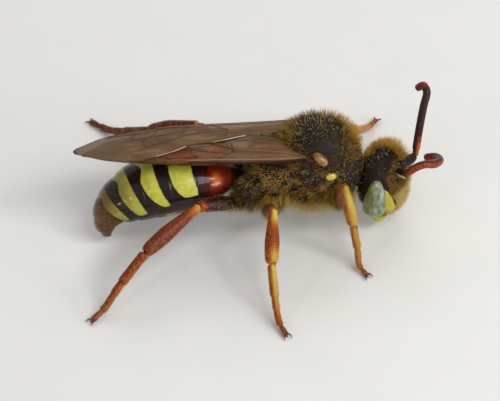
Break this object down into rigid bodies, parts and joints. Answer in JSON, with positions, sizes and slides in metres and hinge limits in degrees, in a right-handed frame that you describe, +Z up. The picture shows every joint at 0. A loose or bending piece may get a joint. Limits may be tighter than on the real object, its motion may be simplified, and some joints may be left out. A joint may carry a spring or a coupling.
{
  "type": "nomad cuckoo bee, life-size still model",
  "caption": "Life-size still model of a male nomad bee, standing with its wings folded over a yellow-banded, red-based abdomen.",
  "frame": {"origin": "centre of the bee's bounding box, on the floor under its soles", "axes": "+X forward past the head, +Y to the bee's left, +Z up"},
  "size_m": [0.0138, 0.0126, 0.005],
  "materials": {
    "cuticle_black": "satin, finely pitted",
    "coat": "short dense pile, brown to gold",
    "yellow": "satin",
    "red": "glossy",
    "orange": "satin with short hair",
    "amber": "glossy",
    "eye": "glossy, finely facetted",
    "membrane": "thin, brown, veined",
    "feeler": "matt, ringed"
  },
  "bodies": {
    "root": {"head": "cuticle_black", "clypeus": "yellow", "labrum": "yellow", "eye_left": "eye", "mandible_left": "yellow", "scape_left": "cuticle_black", "flagellum_left": "feeler", "tegula_left": "amber", "pronotal_lobe_left": "yellow", "forewing_left": "membrane", "hindwing_left": "membrane", "eye_right": "eye", "mandible_right": "yellow", "scape_right": "cuticle_black", "flagellum_right": "feeler", "tegula_right": "amber", "pronotal_lobe_right": "yellow", "forewing_right": "membrane", "hindwing_right": "membrane", "ocellus_front": "amber", "ocellus_left": "amber", "ocellus_right": "amber", "mesothorax": "coat", "pronotum": "coat", "scutellum": "coat", "propodeum": "coat", "abdomen_segment_1": "red", "abdomen_segment_2": "cuticle_black", "abdomen_segment_3": "yellow", "abdomen_segment_4": "yellow", "abdomen_segment_5": "yellow", "abdomen_segment_6": "amber", "abdomen_segment_7": "orange", "hip_fore_right": "cuticle_black", "femur_fore_right": "red", "tibia_fore_right": "orange", "tarsus_fore_right": "orange", "hip_fore_left": "cuticle_black", "femur_fore_left": "red", "tibia_fore_left": "orange", "tarsus_fore_left": "orange", "hip_mid_right": "cuticle_black", "femur_mid_right": "red", "tibia_mid_right": "orange", "tarsus_mid_right": "orange", "hip_mid_left": "cuticle_black", "femur_mid_left": "red", "tibia_mid_left": "orange", "tarsus_mid_left": "orange", "hip_hind_right": "cuticle_black", "femur_hind_right": "red", "tibia_hind_right": "orange", "tarsus_hind_right": "orange", "hip_hind_left": "cuticle_black", "femur_hind_left": "red", "tibia_hind_left": "orange", "tarsus_hind_left": "orange"}
  },
  "joints": []
}
